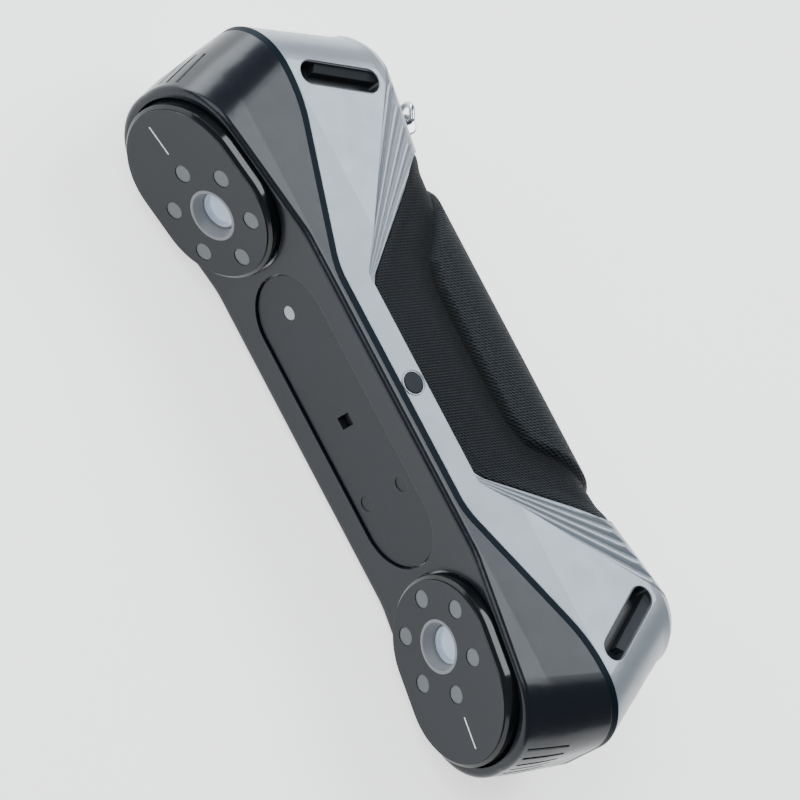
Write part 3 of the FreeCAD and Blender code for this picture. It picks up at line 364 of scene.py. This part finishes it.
# Steps round the girth and along the wrap. The inner skin is coarser by a whole factor.
GRIP_STEPS = (328, 320)
COARSE = 4
SCOOP_DEPTH = 1.85 * MM
SCOOP_REACH = 17.0 * MM
SCOOP_MARGIN = 6.0 * MM
SWELL_BLEND = 2.6 * MM
SHADE_REACH = 7.0 * MM
SHADE_MARGIN = 5.0 * MM
HEM_DEPTH = 0.65 * MM
HEM_WIDTH = 0.9 * MM
HEM_PLAIN = 0.8 * MM
SKIN_INSET = 0.03 * MM
CORNER_STEPS = 8
# Outline of the wrap on one flat side, in mm: half length against distance behind its front edge, then trims.
GRIP_CORNERS = ((0.0, 0.0), (27.7, 0.0), (47.1, 25.5), (56.0, 35.0), (57.7, 57.0))
GRIP_TRIMS = (7.0, 5.0, 4.0)
# Front limit of the raised palm swell, in mm: half length against girth.
SWELL = ((0.0, 21.0), (20.0, 21.4), (28.0, 23.6), (33.0, 28.5),
         (38.5, 34.5), (45.5, 42.0), (50.5, 51.0), (51.5, 70.0))


def rounded_outline():
    """The outline's points with its corners rounded, as (half length, distance) in metres."""
    corners = [Vector(corner) for corner in GRIP_CORNERS]
    points = [corners[0]]
    for before, corner, after, trim in zip(corners, corners[1:], corners[2:], GRIP_TRIMS):
        start = corner + (before - corner).normalized() * trim
        finish_point = corner + (after - corner).normalized() * trim
        for step in range(CORNER_STEPS + 1):
            t = step / CORNER_STEPS
            points.append(start * (1 - t) ** 2 + corner * 2 * t * (1 - t) + finish_point * t ** 2)
    points.append(corners[-1])
    return np.array([(point.x, point.y) for point in points]) * MM


def girth_section(girth, inset):
    """Points of the U-shaped section at a girth, moved inwards: y, z and the girth from the nearer foot."""
    flat = GRIP_BACK - GRIP_ROUND - GRIP_FOOT
    arc = GRIP_ROUND * math.pi / 2
    half = GRIP_HALF - GRIP_ROUND
    middle = flat + arc + half
    side = np.where(girth <= middle, 1.0, -1.0)
    near = np.where(girth <= middle, girth, 2 * middle - girth)
    angle = np.clip((near - flat) / GRIP_ROUND, 0.0, math.pi / 2)
    radius = GRIP_ROUND - inset
    y = GRIP_FOOT + np.minimum(near, flat) + radius * np.sin(angle)
    z = half + radius * np.cos(angle) - np.clip(near - flat - arc, 0.0, half)
    return y, GRIP_MID + side * z, near


def smooth_step(value, low, high):
    t = np.clip((value - low) / (high - low), 0.0, 1.0)
    return t * t * (3 - 2 * t)


def swell_distance(half_length, near):
    """Signed distance from the swell's front limit, above zero on the swell."""
    limit = np.array(SWELL) * MM
    best = np.full(half_length.shape, 1.0)
    for first, second in zip(limit[:-1], limit[1:]):
        run = second - first
        t = ((half_length - first[0]) * run[0] + (near - first[1]) * run[1]) / float(run @ run)
        t = np.clip(t, 0.0, 1.0)
        away = np.hypot(half_length - first[0] - t * run[0], near - first[1] - t * run[1])
        best = np.minimum(best, away)
    inside = near > np.interp(half_length, limit[:, 0], limit[:, 1], right=1.0)
    return np.where(inside, best, -best)


def weave_height(x, near):
    """Depth of the knitted relief under the yarn tops, in metres."""
    first = x * WEAVE_COS + near * WEAVE_SIN
    second = near * WEAVE_COS - x * WEAVE_SIN
    lattice = np.cos(first * math.tau / WEAVE_ALONG) * np.cos(second * math.pi / WEAVE_ACROSS)
    return WEAVE_DEPTH * smooth_step(lattice, -0.4, 0.8)


def grip_wrap():
    """Closed wrap in the sleeve's space: scooped sides, a palm swell, rolled hems, a knitted surface and
    painted shade for the scoop.
    """
    rows, columns = GRIP_STEPS
    flat = GRIP_BACK - GRIP_ROUND - GRIP_FOOT
    total = 2 * (flat + GRIP_ROUND * math.pi / 2 + GRIP_HALF - GRIP_ROUND)
    girth = np.linspace(GRIP_CLEAR, total - GRIP_CLEAR, rows + 1)[:, None] * np.ones(columns + 1)
    share = np.ones(rows + 1)[:, None] * np.linspace(-1.0, 1.0, columns + 1)
    outline = rounded_outline()
    flat_y, _, near = girth_section(girth, 0.0)
    behind = np.clip(flat_y - GRIP_FOOT, 0.0, None)
    half = np.interp(behind, outline[1:, 1], outline[1:, 0]) - GRIP_CLEAR
    x = share * half
    to_edge = np.minimum(half - np.abs(x), near)
    distance = swell_distance(np.abs(x), near)
    falloff = 1 - smooth_step(distance, 0.0, SWELL_BLEND)
    scoop = SCOOP_DEPTH * np.where(distance > 0, falloff, np.clip(1 + distance / SCOOP_REACH, 0.0, 1.0))
    scoop *= smooth_step(to_edge, 0.0, SCOOP_MARGIN)
    # Painted shade: strongest at the swell's front limit, less over the scooped side, fading out on the swell
    # and halved at the edges.
    painted_shade = np.where(distance > 0, 0.85 * falloff, 0.42 + 0.43 * smooth_step(distance, -SHADE_REACH, 0.0))
    painted_shade *= smooth_step(to_edge, 0.0, SHADE_MARGIN) * 0.5 + 0.5
    hem = HEM_DEPTH * (1 - np.sqrt(np.clip(1 - (1 - np.clip(to_edge / HEM_WIDTH, 0, 1)) ** 2, 0, 1)))
    relief = weave_height(x, near) * smooth_step(to_edge, 0.0, HEM_PLAIN)
    depth = SKIN_INSET + scoop + hem + relief
    y, z, _ = girth_section(girth, depth)
    outer = np.stack([x, y, z], axis=-1).reshape(-1, 3)
    deep_y, deep_z, _ = girth_section(girth, GRIP_WALL)
    inner = np.stack([x, deep_y, deep_z], axis=-1)[::COARSE, ::COARSE].reshape(-1, 3)
    wide = columns + 1
    thin = columns // COARSE + 1
    base = len(outer)
    faces = [(r * wide + c, r * wide + c + 1, (r + 1) * wide + c + 1, (r + 1) * wide + c)
             for r in range(rows) for c in range(columns)]
    for r in range(rows // COARSE):
        for c in range(columns // COARSE):
            here = base + r * thin + c
            faces.append((here, here + thin, here + thin + 1, here + 1))
    for c in range(columns // COARSE):
        low = list(range(c * COARSE, (c + 1) * COARSE + 1))
        faces.append((base + c, base + c + 1, *reversed(low)))
        high = [rows * wide + k for k in low]
        last = base + (rows // COARSE) * thin + c
        faces.append((last + 1, last, *high))
    for r in range(rows // COARSE):
        low = [k * wide for k in range(r * COARSE, (r + 1) * COARSE + 1)]
        faces.append((base + (r + 1) * thin, base + r * thin, *low))
        high = [k + columns for k in low]
        faces.append((base + r * thin + thin - 1, base + (r + 1) * thin + thin - 1, *reversed(high)))
    mesh = bpy.data.meshes.new("grip_wrap")
    mesh.from_pydata([tuple(point) for point in np.concatenate([outer, inner])], [], faces)
    mesh.update()
    # The painted shade goes to the cloth shader as a point attribute.
    valley_shade = mesh.attributes.new("valley_shade", "FLOAT", "POINT")
    valley_shade.data.foreach_set("value", np.concatenate([painted_shade.reshape(-1), np.zeros(len(inner))]))
    build = bmesh.new()
    build.from_mesh(mesh)
    bmesh.ops.recalc_face_normals(build, faces=build.faces)
    build.to_mesh(mesh)
    build.free()
    mesh.polygons.foreach_set("use_smooth", [True] * len(mesh.polygons))
    wrap = bpy.data.objects.new("grip_wrap", mesh)
    bpy.context.scene.collection.objects.link(wrap)
    mesh.materials.append(MATERIALS["sleeve"])
    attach(wrap, "housing")
    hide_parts("grip_sleeve")


grip_wrap()


# ---------------------------------------------------------------- room, light and camera

FLOOR_HALF = 4.0
FLOOR_GLOW = 1.3
WORLD_COLOR = (0.88, 0.94, 1.0, 1.0)
WORLD_STRENGTH = 0.30
# The camera looks along a heading and falls below the level; the roll turns the picture.
HEADING = math.radians(4.10)
FALL = math.radians(49.56)
ROLL = math.radians(59.12)
CAMERA_DISTANCE = 1.5477
CAMERA_LENS = 259.25
AIM_SHIFT = Vector((0.0009, 0.0, -0.0041))
COOL = (0.90, 0.955, 1.0)


def make_floor():
    """Plain pale floor under the scanner, with a very slow change of tone."""
    mesh = bpy.data.meshes.new("floor")
    build = bmesh.new()
    bmesh.ops.create_grid(build, x_segments=4, y_segments=4, size=FLOOR_HALF)
    build.to_mesh(mesh)
    build.free()
    floor = bpy.data.objects.new("floor", mesh)
    bpy.context.scene.collection.objects.link(floor)
    material, nodes, links, shader = new_material("floor")
    cloud = remap(nodes, links, object_noise(nodes, links, 3.0), 0.0, 1.0)
    tone = blend_colors(nodes, links, cloud, (0.88, 0.865, 0.85), (0.90, 0.885, 0.87))
    links.new(tone, shader.inputs["Base Color"])
    shader.inputs["Emission Color"].default_value = (1.0, 1.0, 1.0, 1.0)
    shader.inputs["Emission Strength"].default_value = FLOOR_GLOW
    shader.inputs["Roughness"].default_value = 0.85
    mesh.materials.append(material)


def area_light(name, place, aim, size, power):
    """Rectangular softbox at a place, turned to its aim."""
    data = bpy.data.lights.new(name, "AREA")
    data.shape = "RECTANGLE"
    data.size = size[0]
    data.size_y = size[1]
    data.energy = power
    data.color = COOL
    light = bpy.data.objects.new(name, data)
    light.location = place
    light.rotation_euler = (Vector(aim) - Vector(place)).to_track_quat("-Z", "Y").to_euler()
    bpy.context.scene.collection.objects.link(light)


def make_world():
    world = bpy.data.worlds.new("studio")
    world.use_nodes = True
    world.node_tree.nodes["Background"].inputs["Color"].default_value = WORLD_COLOR
    world.node_tree.nodes["Background"].inputs["Strength"].default_value = WORLD_STRENGTH
    bpy.context.scene.world = world


def make_camera():
    """Long lens, turned so that the body runs from the upper left to the lower right."""
    level_reach = math.cos(FALL)
    ahead = Vector((-math.sin(HEADING) * level_reach, math.cos(HEADING) * level_reach, -math.sin(FALL)))
    middle = (Vector(CAD_BOX[0]) + Vector(CAD_BOX[1])) / 2
    target = middle + AIM_SHIFT
    data = bpy.data.cameras.new("camera")
    data.lens = CAMERA_LENS
    data.sensor_width = 36.0
    data.clip_end = 50.0
    camera = bpy.data.objects.new("camera", data)
    level = ahead.to_track_quat("-Z", "Y").to_matrix()
    roll = Matrix.Rotation(ROLL, 3, "Z")
    camera.matrix_world = Matrix.Translation(target - ahead * CAMERA_DISTANCE) @ (level @ roll).to_4x4()
    bpy.context.scene.collection.objects.link(camera)
    bpy.context.scene.camera = camera


make_floor()
make_world()
make_camera()
area_light("back_box", (-0.12, 1.05, 1.25), (0, 0, 0), (0.85, 0.9), 20.0)
area_light("left_box", (-1.25, 0.25, 0.28), (0, 0, 0.02), (1.5, 0.5), 22.0)
area_light("front_box", (-1.3, -1.3, 2.0), (0, 0, 0), (2.4, 2.4), 75.0)
